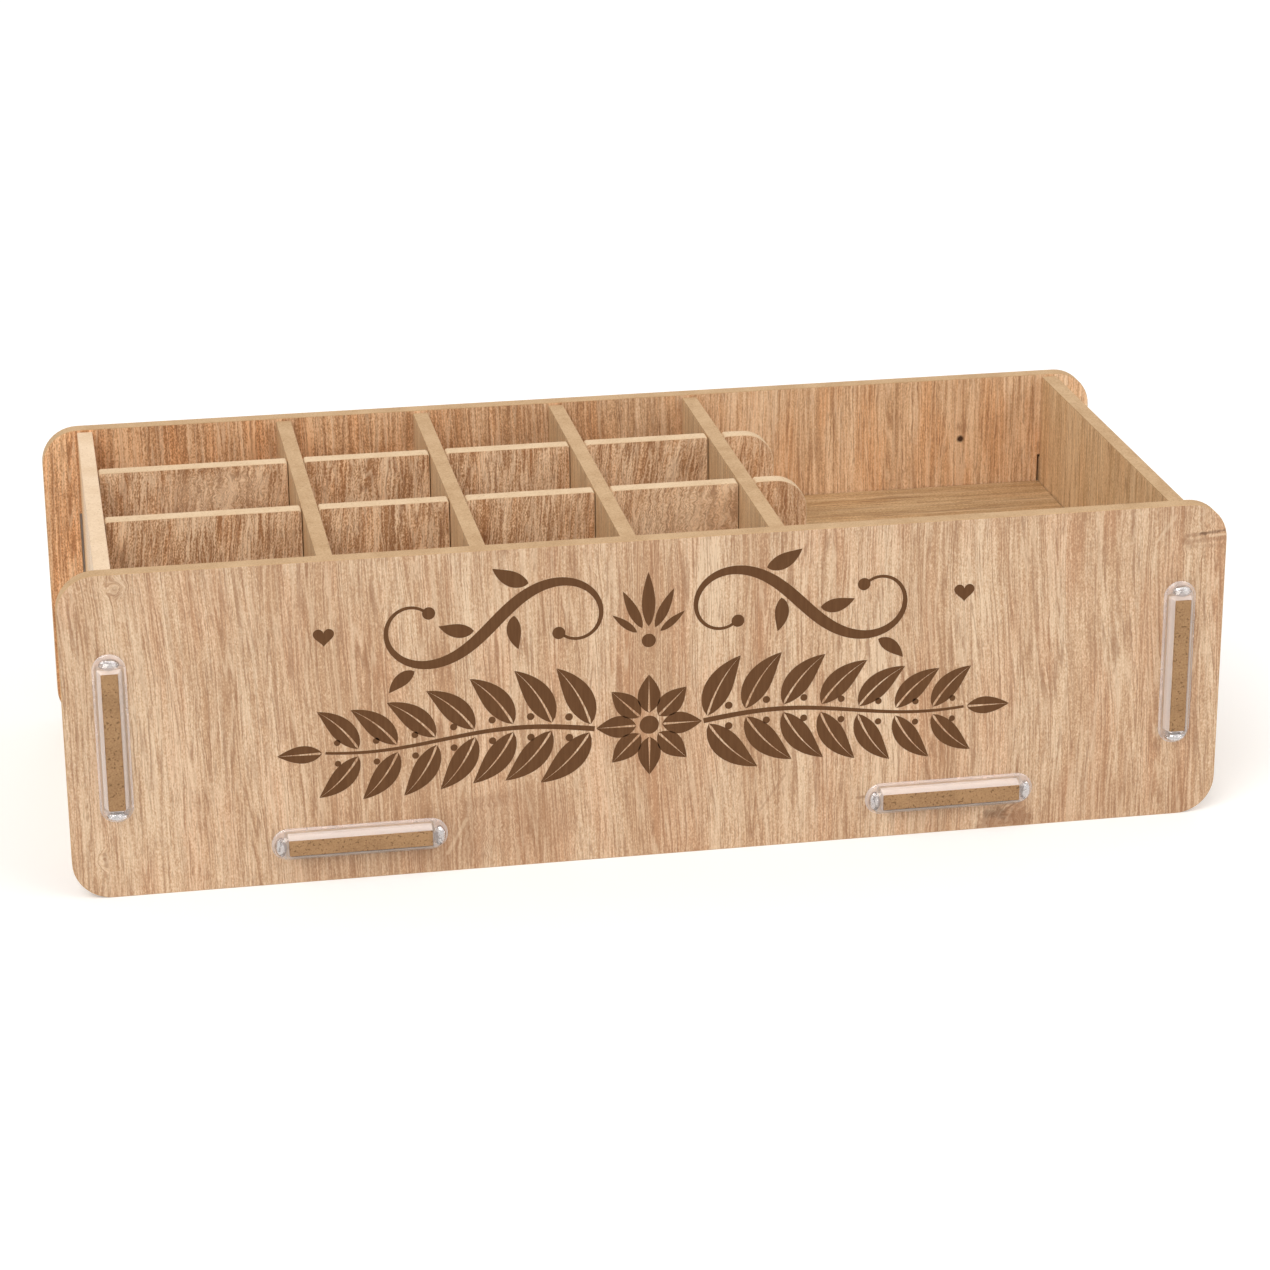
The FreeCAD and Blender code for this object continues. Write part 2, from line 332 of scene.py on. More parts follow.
def oakDecor(name, look):
    material, tree, shader = newMaterial(name)
    across, along, depth = objectPlace(tree, look["axes"])
    flat = joinPlace(tree, across, along, depth)
    wobble = swing(tree, flat, look["wobbleSize"])
    place = joinPlace(tree, grainLine(tree, look, across, along, flat, wobble), along, depth)

    # soft bands and streaks, then thin vessel lines with a pale side, hair lines, short pores and specks
    band = noiseAt(tree, place, look["band"])
    streak = noiseAt(tree, place, look["streak"], *look["streakDetail"])
    speck = noiseAt(tree, place, look["speckSize"], 1.0)
    blush = noiseAt(tree, place, look["blushSize"])
    dash = noiseAt(tree, place, look["dash"], 1.0)
    breaks = stretch(tree, noiseAt(tree, place, look["breaks"], 1.0), *look["breakSpan"], smooth=True)
    vesselField = noiseAt(tree, place, look["vessel"], 1.0)
    vessel = calc(tree, "MULTIPLY", linesAt(tree, vesselField, look["vesselLines"]), breaks)
    pale = linesAt(tree, vesselField, look["vesselLines"], look["paleShift"])
    hair = linesAt(tree, noiseAt(tree, place, look["hair"], 1.0), look["hairLines"])
    pore = stretch(tree, dash, *look["poreSpan"], smooth=True)

    contrast = look["contrast"]
    if look["redSide"]:                             # the left end is ruddier and livelier
        lively = contrast * (1 + look["liveSide"])
        contrast = stretch(tree, across, *look["redSpan"], lively, contrast, smooth=True)
    tone = 0.5
    for part, weight in ((streak, "streakShare"), (band, "bandShare"), (speck, "speckShare")):
        share = calc(tree, "MULTIPLY", contrast, look[weight])
        tone = calc(tree, "MULTIPLY_ADD", calc(tree, "SUBTRACT", part, 0.5), share, tone)
    colour = toneRamp(tree, tone, look["tones"], (look["dark"], look["middle"], look["light"]))
    flush = stretch(tree, blush, *look["blushSpan"], 0.0, look["blushMost"], smooth=True)
    colour = blendColour(tree, flush, colour, look["blush"], "MULTIPLY")
    if look["redSide"]:
        ruddy = stretch(tree, across, *look["redSpan"], look["redSide"], 0.0, smooth=True)
        colour = blendColour(tree, ruddy, colour, look["blush"], "MULTIPLY")
    layers = ((hair, "hairStrength", "poreColour"), (pale, "paleStrength", "light"),
              (vessel, "vesselStrength", "poreColour"), (pore, "poreStrength", "poreColour"))
    for amount, strength, tint in layers:
        colour = blendColour(tree, calc(tree, "MULTIPLY", amount, look[strength]), colour, look[tint])
    spot = joinPlace(tree, across, along, 0.0)
    fibre = stretch(tree, streak, *look["markSpan"], *look["markShare"])
    for mark in look["marks"]:
        shown = calc(tree, "MULTIPLY", boardMark(tree, spot, wobble, mark), fibre)
        colour = blendColour(tree, shown, colour, look[mark.get("tint", "poreColour")])

    tree.links.new(colour, shader.inputs["Base Color"])
    tree.links.new(stretch(tree, dash, *noiseSpan, *look["rough"]), shader.inputs["Roughness"])
    shader.inputs["Specular IOR Level"].default_value = look["specular"]
    addBump(tree, shader, calc(tree, "SUBTRACT", streak, vessel), look["relief"])
    return material


# Raw board edges: fine chips with a few dark flecks

edgeBase = {
    "cloudSize": (9, 9, 9), "cloudShare": 0.6, "chipSize": (0.55, 0.55, 0.55), "chipDetail": (3.0, 0.6),
    "fleckSize": (0.8, 0.8, 0.8), "fleckSpan": (0.66, 0.74), "fleckMost": 0.7, "tones": (0.30, 0.66),
    "rough": 0.85, "specular": 0.2, "relief": 0.08 * mm,
}
edgeLooks = {
    "sawnEdgePale": {
        "light": (0.790, 0.595, 0.394), "dark": (0.672, 0.477, 0.291), "fleck": (0.450, 0.280, 0.150),
    },
    "sawnEdgeBright": {
        "light": (0.865, 0.670, 0.476), "dark": (0.744, 0.545, 0.358), "fleck": (0.550, 0.370, 0.220),
    },
    "sawnEdgeTan": {
        "light": (0.625, 0.426, 0.245), "dark": (0.486, 0.304, 0.157), "fleck": (0.320, 0.185, 0.092),
    },
    "tabEnd": {
        "light": (0.420, 0.253, 0.127), "dark": (0.300, 0.172, 0.084), "fleck": (0.120, 0.060, 0.028),
        "fleckSpan": (0.60, 0.70),
    },
}


def sawnEdge(name, look):
    material, tree, shader = newMaterial(name)
    place = joinPlace(tree, *objectPlace(tree, "XYZ"))
    chip = noiseAt(tree, place, look["chipSize"], *look["chipDetail"])
    fleck = stretch(tree, noiseAt(tree, place, look["fleckSize"], 1.0), *look["fleckSpan"], smooth=True)
    tone = calc(tree, "MULTIPLY_ADD", swing(tree, place, look["cloudSize"]), look["cloudShare"], chip)
    colour = toneRamp(tree, tone, look["tones"], (look["dark"], look["light"]))
    colour = blendColour(tree, calc(tree, "MULTIPLY", fleck, look["fleckMost"]), colour, look["fleck"])
    tree.links.new(colour, shader.inputs["Base Color"])
    shader.inputs["Roughness"].default_value = look["rough"]
    shader.inputs["Specular IOR Level"].default_value = look["specular"]
    addBump(tree, shader, chip, look["relief"])
    return material


oak = {name: oakDecor(name, {**oakBase, **look}) for name, look in oakLooks.items()}
sawn = {name: sawnEdge(name, {**edgeBase, **look}) for name, look in edgeLooks.items()}
print("decor and edge materials:", len(oak) + len(sawn))


# Boards: the CAD boards with softened edges, decor on the faces and raw edges

softEdge = {"width": 0.25 * mm, "segments": 2, "profile": 0.5, "sharpAngle": math.radians(35),
            "weldGap": 1e-6, "flatAngle": math.radians(0.5), "faceLimit": 0.95, "tabStart": 77 * mm}

boards = {                                          # normal: the axis that the decor faces look along
    "front_panel": {"body": "case", "normal": 1, "decor": "oakFront", "edge": "sawnEdgeTan"},
    "back_panel": {"body": "case", "normal": 1, "decor": "oakBack", "edge": "sawnEdgeTan"},
    "left_side_panel": {"body": "case", "normal": 0, "decor": "oakCross", "edge": "sawnEdgeBright"},
    "right_side_panel": {"body": "case", "normal": 0, "decor": "oakCross", "edge": "sawnEdgeTan"},
    "floor_panel": {"body": "case", "normal": 2, "decor": "oakTray", "edge": "sawnEdgeTan"},
    "tray_floor": {"body": "tray_floor", "normal": 2, "decor": "oakTray", "edge": "sawnEdgeTan"},
    "long_divider_front": {"body": "divider_insert", "normal": 1,
                           "decor": "oakDividerFront", "edge": "sawnEdgePale"},
    "long_divider_back": {"body": "divider_insert", "normal": 1,
                          "decor": "oakDividerBack", "edge": "sawnEdgePale"},
}
for number in range(1, 5):
    boards[f"cross_divider_{number}"] = {"body": f"cross_divider_{number}", "normal": 0,
                                         "decor": "oakCross", "edge": "sawnEdgeTan"}


def pieceName(node):                                # front_panel becomes frontPanel
    first, *others = node.split("_")
    return first + "".join(word.capitalize() for word in others)


def finishPiece(name, shape, body, materials, node=None):
    mesh = bpy.data.meshes.new(name)
    shape.to_mesh(mesh)
    shape.free()
    for material in materials:
        mesh.materials.append(material)
    piece = bpy.data.objects.new(name, mesh)
    bpy.context.scene.collection.objects.link(piece)
    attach(piece, body)
    if node:
        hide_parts(node)
    return piece


def makeBoard(node, board):
    shape = bmesh.new()
    shape.from_mesh(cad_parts[node].data)
    bmesh.ops.remove_doubles(shape, verts=shape.verts, dist=softEdge["weldGap"])
    bmesh.ops.dissolve_limit(shape, angle_limit=softEdge["flatAngle"], verts=shape.verts, edges=shape.edges)
    corners = [edge for edge in shape.edges
               if len(edge.link_faces) == 2 and edge.calc_face_angle() > softEdge["sharpAngle"]]
    bmesh.ops.bevel(shape, geom=corners, offset=softEdge["width"], segments=softEdge["segments"],
                    profile=softEdge["profile"], affect="EDGES", clamp_overlap=True)
    shape.normal_update()
    for face in shape.faces:                        # 0 decor, 1 raw edge, 2 tab end
        face.smooth = True
        if abs(face.normal[board["normal"]]) > softEdge["faceLimit"]:
            face.material_index = 0
        elif abs(face.calc_center_median().y) > softEdge["tabStart"]:
            face.material_index = 2
        else:
            face.material_index = 1
    materials = (oak[board["decor"]], sawn[board["edge"]], sawn["tabEnd"])
    piece = finishPiece(pieceName(node), shape, board["body"], materials, node)
    weighted = piece.modifiers.new("evenShading", "WEIGHTED_NORMAL")
    weighted.keep_sharp = True


for node, board in boards.items():
    makeBoard(node, board)
print("boards:", len(boards))


# Clear clips: a domed pill on a thin flange, with an opening for the tab end

clipShape = {
    "tabHalf": 22.0 * mm, "tabHalfThick": 2.5 * mm, "outline": 5.1 * mm, "height": 4.5 * mm, "dome": 4.0 * mm,
    "flange": 0.55 * mm, "flangeRise": 0.8, "flangeInset": 0.25,       # its rim, as shares of the flange
    "lipRound": 0.25 * mm, "lipBend": 0.7, "lipDrop": 0.3,             # the lip's middle point, as shares
    "slack": 0.05 * mm, "lift": 0.03 * mm, "shade": 0.75 * mm,         # shade: width of a brown band of painted shade over the dark gap round the tab
    "sideSteps": 22, "endSteps": 20, "domeSteps": 12, "sharpAngle": math.radians(50),
    "pocket": (1.7 * mm, 2.9 * mm, 1.3 * mm), "pocketSteps": (20, 12),
    "pocketAt": 24.3 * mm, "pocketRise": 1.8 * mm,
}
plasticBase = {"mirror": 0.0, "coat": 0.0, "coatRough": 0.03, "rippleSize": 6.0, "rippleDepth": 0.04 * mm}
plasticLooks = {
    "clipSkin": {"colour": (0.985, 0.965, 0.955, 1.0), "clear": 0.92, "bend": 1.45, "rough": (0.02, 0.06),
                 "coat": 1.0},
    "clipInside": {"colour": (0.970, 0.930, 0.920, 1.0), "clear": 0.42, "bend": 1.0, "rough": (0.10, 0.20)},
    # a brown band on the foot beside the tab: painted shade of the dark gap round the tab, seen through the
    # plastic
    "clipShade": {"colour": (0.560, 0.430, 0.330, 1.0), "clear": 0.20, "bend": 1.0, "rough": (0.40, 0.60)},
    "clipFoot": {"colour": (0.940, 0.880, 0.860, 1.0), "clear": 0.60, "bend": 1.0, "rough": (0.20, 0.30)},
    "clipPocket": {"colour": (0.560, 0.545, 0.550, 1.0), "clear": 0.0, "bend": 1.45, "rough": (0.04, 0.22),
                   "mirror": 1.0, "rippleSize": 1.6, "rippleDepth": 0.6 * mm},
}
clipFinishes = list(plasticLooks)                   # their order on the clips


def clearPlastic(name, look):
    material, tree, shader = newMaterial(name)
    place = joinPlace(tree, *objectPlace(tree, "XYZ"))
    haze = noiseAt(tree, place, (look["rippleSize"],) * 3)
    shader.inputs["Base Color"].default_value = look["colour"]
    shader.inputs["Metallic"].default_value = look["mirror"]
    shader.inputs["Transmission Weight"].default_value = look["clear"]
    shader.inputs["IOR"].default_value = look["bend"]
    shader.inputs["Coat Weight"].default_value = look["coat"]
    shader.inputs["Coat Roughness"].default_value = look["coatRough"]
    tree.links.new(stretch(tree, haze, *noiseSpan, *look["rough"]), shader.inputs["Roughness"])
    addBump(tree, shader, haze, look["rippleDepth"])
    return material


def clipProfile(outer, inner):                      # one closed section: foot, flange, dome, opening
    size = clipShape
    wall = size["outline"] - size["tabHalfThick"]
    domeWidth = size["dome"] - size["flange"]
    domeRise = size["height"] - size["flange"]

    def onDome(share):
        spot = outer.lerp(inner, share)
        nearest = Vector((max(-size["tabHalf"], min(size["tabHalf"], spot.x)), 0))
        inset = size["outline"] - (spot - nearest).length - size["flange"]
        lean = 1 - max(0.0, min(1.0, inset / domeWidth))
        return Vector((spot.x, spot.y, size["flange"] + domeRise * math.sqrt(1 - lean * lean)))

    flangeShare = size["flange"] / wall
    lipShare = 1 - size["lipRound"] / wall
    rim = outer.lerp(inner, size["flangeInset"] * flangeShare)
    section = [Vector((outer.x, outer.y, size["lift"])),
               Vector((outer.x, outer.y, size["flangeRise"] * size["flange"])),
               Vector((rim.x, rim.y, size["flange"]))]
    lastAngle = math.acos(1 - (wall - size["flange"]) / domeWidth)
    for step in range(size["domeSteps"] + 1):
        angle = lastAngle * step / size["domeSteps"]
        climb = (1 - math.cos(angle)) / (1 - math.cos(lastAngle))
        section.append(onDome(flangeShare + (lipShare - flangeShare) * climb))
    lip = onDome(1.0)
    bend = section[-1].lerp(lip, size["lipBend"])
    section.append(Vector((bend.x, bend.y, lip.z - size["lipDrop"] * size["lipRound"])))
    section.append(Vector((inner.x, inner.y, lip.z - size["lipRound"])))
    section.append(Vector((inner.x, inner.y, size["lift"])))
    # the foot's inner band, out to gapEdge, carries the painted shade of the gap
    gapEdge = inner + (outer - inner).normalized() * size["shade"]
    section.append(Vector((gapEdge.x, gapEdge.y, size["lift"])))
    return section


def clipStations():                                 # pairs of points round the outline and round the opening
    size = clipShape
    half, thick = size["tabHalf"], size["tabHalfThick"] + size["slack"]
    pairs = []
    for side in (-1, 1):
        for step in range(size["sideSteps"]):
            along = side * half * (2 * step / size["sideSteps"] - 1)
            pairs.append((Vector((along, -side * size["outline"])), Vector((along, -side * thick))))
        for step in range(size["endSteps"]):
            angle = math.pi * (step / size["endSteps"] - 0.5)
            tip = Vector((math.cos(angle) * size["outline"] + half, math.sin(angle) * size["outline"]))
            mouth = Vector((half + size["slack"], math.sin(angle) * thick))
            pairs.append((tip * side, mouth * side))
    return pairs


def airPocket(shape, place):                        # the moulded ends are hollow
    around, upwards = clipShape["pocketSteps"]
    made = bmesh.ops.create_uvsphere(shape, u_segments=around, v_segments=upwards, radius=1.0,
                                     matrix=place @ Matrix.Diagonal((*clipShape["pocket"], 1.0)))
    faces = list({face for vert in made["verts"] for face in vert.link_faces})
    for face in faces:
        face.material_index = clipFinishes.index("clipPocket")
    bmesh.ops.reverse_faces(shape, faces=faces)


def clipPlace(node):                                # takes a flat clip, tab along X, to its panel
    low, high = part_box(node)
    middle = (low + high) / 2
    facing = 1 if middle.y > 0 else -1
    upright = high.z - low.z > high.x - low.x
    base = Vector((middle.x, low.y if facing > 0 else high.y, middle.z))
    spin = Matrix.Rotation(math.radians(90), 4, "Z") if upright else Matrix.Identity(4)
    return Matrix.Translation(base) @ Matrix.Rotation(math.radians(-90 * facing), 4, "X") @ spin


def makeClip(node, materials):
    place = clipPlace(node)
    shape = bmesh.new()
    rings = []
    for outer, inner in clipStations():
        rings.append([shape.verts.new(place @ point) for point in clipProfile(outer, inner)])
    count = len(rings[0])
    lastStrips = ["clipInside", "clipShade", "clipFoot"]
    strips = ["clipSkin"] * (count - len(lastStrips)) + lastStrips
    for i, ring in enumerate(rings):
        following = rings[(i + 1) % len(rings)]
        for j, finish in enumerate(strips):
            k = (j + 1) % count
            face = shape.faces.new((ring[j], ring[k], following[k], following[j]))
            face.material_index = clipFinishes.index(finish)
    bmesh.ops.recalc_face_normals(shape, faces=shape.faces)
    for side in (-1, 1):
        hollow = Matrix.Translation((side * clipShape["pocketAt"], 0, clipShape["pocketRise"]))
        airPocket(shape, place @ hollow)
    for face in shape.faces:
        face.smooth = True
    piece = finishPiece(pieceName(node), shape, "case", materials, node)
    piece.data.set_sharp_from_angle(angle=clipShape["sharpAngle"])
    piece.visible_shadow = False                    # lamps reach the board through the clear plastic


clipPlastics = [clearPlastic(name, {**plasticBase, **look}) for name, look in plasticLooks.items()]
clipNodes = [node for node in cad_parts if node.endswith("_clip")]
for node in clipNodes:
    makeClip(node, clipPlastics)
print("clips:", len(clipNodes))


# Printed ornament on the front: a leaf garland under two scrolls and a plume, with two hearts

inkLook = {"colour": (0.118, 0.053, 0.022), "faded": (0.142, 0.067, 0.029), "tones": (0.35, 0.75),
           "wearSize": (0.7, 9, 3), "rough": 0.75, "specular": 0.12, "relief": 0.02 * mm}
ornament = {"middle": -2.7 * mm, "sunk": 0.02 * mm, "proud": 0.04 * mm, "strokeSteps": 110, "dotPoints": 24,
            "weldGap": 1e-6, "leastEdge": 1e-7}
leafShape = {"steps": 16, "curlStart": 0.3, "bulge": 0.8, "fullness": 0.9, "tipGap": 0.03 * mm}


def printInk(name):
    material, tree, shader = newMaterial(name)
    place = joinPlace(tree, *objectPlace(tree, "XZY"))
    wear = noiseAt(tree, place, inkLook["wearSize"])
    colour = toneRamp(tree, wear, inkLook["tones"], (inkLook["colour"], inkLook["faded"]))
    tree.links.new(colour, shader.inputs["Base Color"])
    shader.inputs["Roughness"].default_value = inkLook["rough"]
    shader.inputs["Specular IOR Level"].default_value = inkLook["specular"]
    addBump(tree, shader, wear, inkLook["relief"])
    return material


class InkSheet:                                     # flat shapes on the front face, then made thick
    def __init__(self):
        self.shape = bmesh.new()
        self.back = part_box("front_panel")[0].y + ornament["sunk"]
        self.side = 1                               # -1 mirrors what is added

    def corner(self, point):
        return self.shape.verts.new((ornament["middle"] + self.side * point[0], self.back, point[1]))

    def strip(self, first, second):                 # quads between two lines of points
        made = [[self.corner(point) for point in line] for line in (first, second)]
        for i in range(len(first) - 1):
            self.shape.faces.new((made[0][i], made[0][i + 1], made[1][i + 1], made[1][i]))

    def outline(self, points):
        self.shape.faces.new([self.corner(point) for point in points])

    def dot(self, place, radius, points=ornament["dotPoints"]):
        self.outline([Vector(place) + heading(2 * math.pi * i / points) * radius for i in range(points)])

    def finish(self, name, material):
        shape = self.shape
        bmesh.ops.remove_doubles(shape, verts=shape.verts, dist=ornament["weldGap"])
        bmesh.ops.dissolve_degenerate(shape, edges=shape.edges, dist=ornament["leastEdge"])
        made = bmesh.ops.extrude_face_region(shape, geom=shape.faces[:])
        top = [item for item in made["geom"] if isinstance(item, bmesh.types.BMVert)]
        bmesh.ops.translate(shape, verts=top, vec=(0, -ornament["sunk"] - ornament["proud"], 0))
        bmesh.ops.recalc_face_normals(shape, faces=shape.faces)
        finishPiece(name, shape, "case", (material,))


def heading(angle):
    return Vector((math.cos(angle), math.sin(angle)))


def leaf(sheet, base, angle, length, width, curl=0.0, rib=0.0):     # two halves with a bare rib between them
    steps = leafShape["steps"]
    least = min(rib, leafShape["tipGap"])           # the halves of a ribbed leaf stay apart at its ends too
    inner, outer = {1: [], -1: []}, {1: [], -1: []}
    spot = Vector(base)
    for i in range(steps + 1):
        t = i / steps
        ahead = heading(angle + curl * (t - leafShape["curlStart"]))
        across = Vector((-ahead.y, ahead.x))
        half = least
        if 0 < i < steps:
            half = width * math.sin(math.pi * t ** leafShape["bulge"]) ** leafShape["fullness"]
        gap = max(least, min(rib * (1 - t), half))
        for side in (1, -1):
            inner[side].append(spot + across * gap * side)
            outer[side].append(spot + across * half * side)
        spot = spot + ahead * (length / steps)
    for side in (1, -1):
        sheet.strip(inner[side], outer[side])


def stroke(sheet, points, widths):
    left, right = [], []
    for i, point in enumerate(points):
        ahead = points[min(i + 1, len(points) - 1)] - points[max(i - 1, 0)]
        across = Vector((-ahead.y, ahead.x)).normalized()
        left.append(point + across * widths[i] / 2)
        right.append(point - across * widths[i] / 2)
    sheet.strip(left, right)


garland = {
    "base": 43.8 * mm, "start": 17 * mm, "reach": 112 * mm, "wave": 2.2 * mm,
    "stem": 1.7 * mm, "stemTaper": 0.5, "stemShort": 0.55,             # ends this share of a leaf early
    "pairs": 8, "pairStart": 0.05, "taper": 0.25,
    "leafLength": 22 * mm, "leafWidth": 4.3 * mm, "leafGap": 1.6 * mm,
    "leafAngle": math.radians(58), "angleFade": 0.02, "leafCurl": 0.5, "rib": 0.4 * mm,
    "tipGap": 0.6, "tipLength": 0.62, "tipWidth": 0.66,                # the leaf at the stem's end, as shares
    "berry": 1.2 * mm, "berryAt": 0.62, "berryRise": 3.4 * mm,
    "petals": 8, "petalLength": 12.5 * mm, "petalWidth": 3.6 * mm, "petalStart": 4.0 * mm,
    "eye": 3.0 * mm, "eyePoints": 36,
}


def makeGarland(material):
    size = garland
    sheet = InkSheet()
    steps = ornament["strokeSteps"]
    reach = size["reach"] - size["start"]
    spread = reach / size["pairs"]

    def stemAt(x):
        turn = 2 * math.pi * (x - size["start"]) / reach
        return Vector((x, size["base"] + size["wave"] * math.sin(turn)))

    stemEnd = size["reach"] - size["leafLength"] * size["stemShort"]
    line = [stemAt(size["start"] + (stemEnd - size["start"]) * i / steps) for i in range(steps + 1)]
    widths = [size["stem"] * (1 - size["stemTaper"] * i / steps) for i in range(steps + 1)]
    for side in (-1, 1):
        sheet.side = side
        stroke(sheet, line, widths)
        for pair in range(size["pairs"] - 1):
            x = size["start"] + spread * (pair + size["pairStart"])
            ahead = stemAt(x + mm) - stemAt(x)
            along = math.atan2(ahead.y, ahead.x)
            fade = 1 - size["taper"] * pair / size["pairs"]
            for turn in (1, -1):
                angle = along + turn * size["leafAngle"] * (1 - size["angleFade"] * pair)
                leaf(sheet, stemAt(x) + heading(angle) * size["leafGap"], angle, size["leafLength"] * fade,
                     size["leafWidth"] * fade, -turn * size["leafCurl"], size["rib"])
                berry = stemAt(x + spread * size["berryAt"]) + Vector((0, turn * size["berryRise"]))
                sheet.dot(berry, size["berry"] * fade)
        tip = stemAt(stemEnd) + Vector((size["leafGap"] * size["tipGap"], 0))
        leaf(sheet, tip, 0.0, size["leafLength"] * size["tipLength"], size["leafWidth"] * size["tipWidth"],
             rib=size["rib"])
    centre = Vector((0, size["base"]))              # the flower in the middle, on the unmirrored side
    for petal in range(size["petals"]):
        angle = 2 * math.pi * petal / size["petals"]
        base = centre + heading(angle) * size["petalStart"]
        leaf(sheet, base, angle, size["petalLength"], size["petalWidth"], rib=size["rib"])
    sheet.dot(centre, size["eye"], size["eyePoints"])
    sheet.finish("leafGarland", material)


scroll = {
    "base": 80.5 * mm, "offset": 47.5 * mm, "length": 49 * mm, "turns": 1.7, "tilt": math.radians(-45),
    "thick": 3.8 * mm, "thin": 0.9 * mm, "ball": 2.0 * mm, "ballSet": 0.95,
    "leafLength": 13 * mm, "leafWidth": 2.6 * mm, "leafGap": 1.0 * mm, "leafTurn": 0.85, "leafCurl": 0.5,
    "leaves": ((0.37, 1, 0.95), (0.45, -1, 0.85), (0.55, 1, 0.85), (0.74, -1, 0.8)),      # place, side, size
}
plume = {
    "base": 71.5 * mm, "start": 4.6 * mm, "dot": 2.2 * mm, "length": 13 * mm, "width": 1.55 * mm,
    "leaves": ((-0.9, 0.75), (-0.45, 1.05), (0.0, 1.35), (0.45, 1.05), (0.9, 0.75)),      # tilt, size
}


def spiralLine(reach, steps):                       # curvature grows evenly both ways, so both ends curl up
    half = [Vector((0, 0))]
    for i in range(steps):
        s = reach * (i + 0.5) / steps
        half.append(half[-1] + heading(math.pi * s * s / 2) * (reach / steps))
    return [-point for point in reversed(half[1:])] + half


def makeScroll(material):
    size = scroll
    sheet = InkSheet()
    turn = Matrix.Rotation(size["tilt"], 2)
    scale = size["length"] / math.sqrt(2)
    centre = Vector((size["offset"], size["base"]))
    points = [centre + turn @ (point * scale) for point in spiralLine(size["turns"], ornament["strokeSteps"])]
    count = len(points) - 1
    widths = [size["thin"] + (size["thick"] - size["thin"]) * math.sin(math.pi * i / count) ** 2
              for i in range(count + 1)]
    for side in (-1, 1):
        sheet.side = side
        stroke(sheet, points, widths)
        for end, before in ((points[0], points[2]), (points[-1], points[-3])):
            sheet.dot(end + (end - before).normalized() * size["ball"] * size["ballSet"], size["ball"])
        for share, hand, grow in size["leaves"]:
            index = int(count * share)
            ahead = points[index + 1] - points[index]
            angle = math.atan2(ahead.y, ahead.x)
            away = heading(angle + hand * math.pi / 2)
            base = points[index] + away * (widths[index] / 2 + size["leafGap"])
            leaf(sheet, base, angle + hand * size["leafTurn"], size["leafLength"] * grow,
                 size["leafWidth"] * grow, hand * size["leafCurl"])
    root = Vector((0, plume["base"]))               # the plume between the scrolls
    for tilt, grow in plume["leaves"]:
        angle = math.pi / 2 - tilt
        base = root + heading(angle) * plume["start"]
        leaf(sheet, base, angle, plume["length"] * grow, plume["width"] * grow)
    sheet.dot(root, plume["dot"])
    sheet.finish("scrollFlourish", material)


hearts = {"heartLeft": (-99.1 * mm, 79.9 * mm), "heartRight": (99.1 * mm, 80.4 * mm)}
heartSize = {"width": 6.4 * mm, "points": 60}


def makeHeart(name, place, material):
    sheet = InkSheet()
    scale = heartSize["width"] / 32                 # the usual heart curve is 32 units wide
    points = []
    for i in range(heartSize["points"]):
        t = 2 * math.pi * i / heartSize["points"]
        x = 16 * math.sin(t) ** 3
        z = 13 * math.cos(t) - 5 * math.cos(2 * t) - 2 * math.cos(3 * t) - math.cos(4 * t)
        points.append((place[0] + x * scale, place[1] + z * scale))
    sheet.outline(points)
    sheet.finish(name, material)


ink = printInk("brownPrint")
makeGarland(ink)
makeScroll(ink)
for name, place in hearts.items():
    makeHeart(name, place, ink)
print("printed ornament done")


# Floor, light and camera

studioFloor = {"size": 2.6, "colour": (0.86, 0.86, 0.86, 1.0), "rough": 0.9, "specular": 0.0,
               "glow": (1, 1, 1, 1), "lift": 0.22}
studioLight = {"ambient": 0.62, "ambientColour": (1.0, 0.985, 0.965, 1.0), "white": (1, 1, 1, 1),
               "aim": (0, 0, 0.05)}
lamps = {
    "keySoftbox": {"place": (-2.9, -4.2, 5.6), "size": 4.5, "power": 285.0, "colour": (1.0, 0.97, 0.93)},
    "fillSoftbox": {"place": (4.2, -3.6, 3.6), "size": 4.0, "power": 90.0, "colour": (1.0, 0.98, 0.96)},
    "rearSoftbox": {"place": (0.8, 4.6, 1.1), "size": 1.6, "power": 38.0, "colour": (1.0, 0.98, 0.96)},
}


def seenDirectly(tree):                             # camera, mirror and glass rays
    path = tree.nodes.new("ShaderNodeLightPath")
    seen = calc(tree, "MAXIMUM", path.outputs["Is Camera Ray"], path.outputs["Is Glossy Ray"])
    return calc(tree, "MAXIMUM", seen, path.outputs["Is Transmission Ray"])


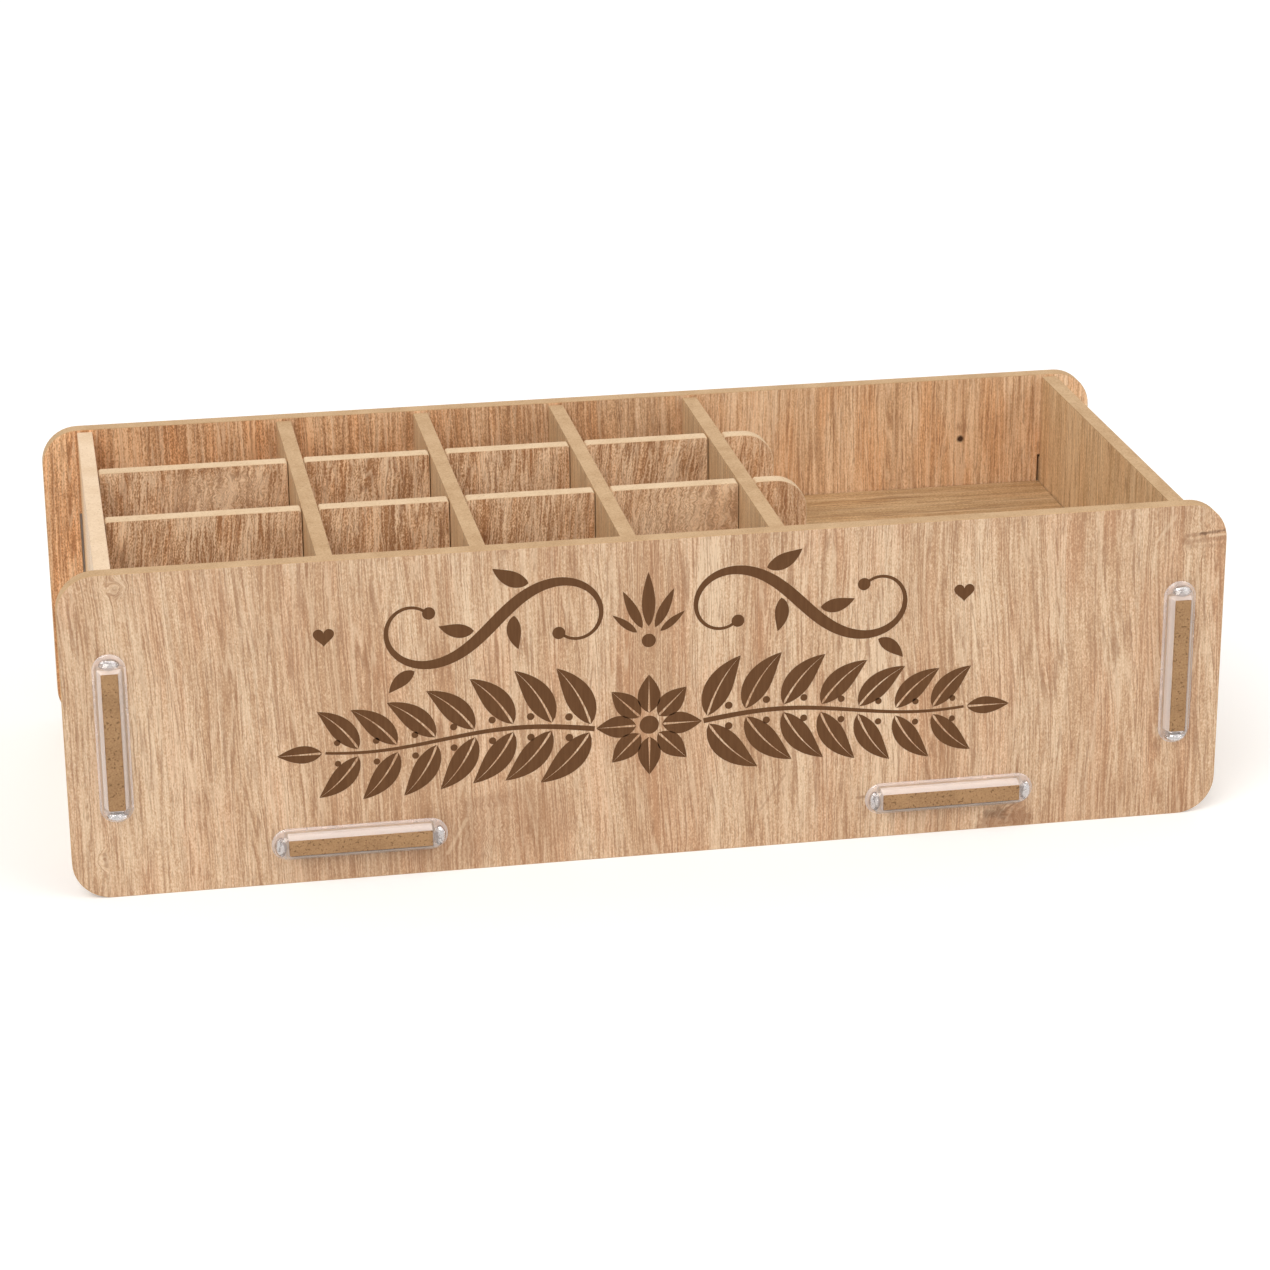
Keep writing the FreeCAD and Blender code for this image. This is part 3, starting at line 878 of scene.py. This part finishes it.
def makeFloor():
    shape = bmesh.new()
    bmesh.ops.create_grid(shape, x_segments=2, y_segments=2, size=studioFloor["size"])
    mesh = bpy.data.meshes.new("studioFloor")
    shape.to_mesh(mesh)
    shape.free()
    floor = bpy.data.objects.new("studioFloor", mesh)
    bpy.context.scene.collection.objects.link(floor)
    material, tree, shader = newMaterial("paleFloor")
    shader.inputs["Base Color"].default_value = studioFloor["colour"]
    shader.inputs["Roughness"].default_value = studioFloor["rough"]
    shader.inputs["Specular IOR Level"].default_value = studioFloor["specular"]
    shader.inputs["Emission Color"].default_value = studioFloor["glow"]
    glow = calc(tree, "MULTIPLY", seenDirectly(tree), studioFloor["lift"])
    tree.links.new(glow, shader.inputs["Emission Strength"])
    mesh.materials.append(material)


def makeWorld():
    world = bpy.data.worlds.new("studioWorld")
    world.use_nodes = True
    tree = world.node_tree
    ambient = tree.nodes["Background"]
    ambient.inputs["Color"].default_value = studioLight["ambientColour"]
    ambient.inputs["Strength"].default_value = studioLight["ambient"]
    white = tree.nodes.new("ShaderNodeBackground")
    white.inputs["Color"].default_value = studioLight["white"]
    mix = tree.nodes.new("ShaderNodeMixShader")
    tree.links.new(seenDirectly(tree), mix.inputs[0])
    tree.links.new(ambient.outputs[0], mix.inputs[1])
    tree.links.new(white.outputs[0], mix.inputs[2])
    tree.links.new(mix.outputs[0], tree.nodes["World Output"].inputs["Surface"])
    bpy.context.scene.world = world


def makeLamp(name, lamp):
    light = bpy.data.lights.new(name, "AREA")
    light.size = lamp["size"]
    light.energy = lamp["power"]
    light.color = lamp["colour"]
    holder = bpy.data.objects.new(name, light)
    holder.location = lamp["place"]
    towards = Vector(studioLight["aim"]) - Vector(lamp["place"])
    holder.rotation_euler = towards.to_track_quat("-Z", "Y").to_euler()
    holder.visible_camera = False
    bpy.context.scene.collection.objects.link(holder)


cameraView = {"place": (-0.18708, -1.08336, 0.45657), "turn": -10.137, "tilt": 69.481, "roll": -0.3674,
              "lens": 101.674, "sensor": 36.0}


def makeCamera():
    data = bpy.data.cameras.new("photoCamera")
    data.lens = cameraView["lens"]
    data.sensor_width = cameraView["sensor"]
    camera = bpy.data.objects.new("photoCamera", data)
    camera.matrix_world = (Matrix.Translation(cameraView["place"])
                           @ Matrix.Rotation(math.radians(cameraView["turn"]), 4, "Z")
                           @ Matrix.Rotation(math.radians(cameraView["tilt"]), 4, "X")
                           @ Matrix.Rotation(math.radians(cameraView["roll"]), 4, "Z"))
    bpy.context.scene.collection.objects.link(camera)
    bpy.context.scene.camera = camera


makeFloor()
makeWorld()
for name, lamp in lamps.items():
    makeLamp(name, lamp)
makeCamera()
bpy.context.scene.view_settings.view_transform = "Standard"
print("floor, light and camera set")
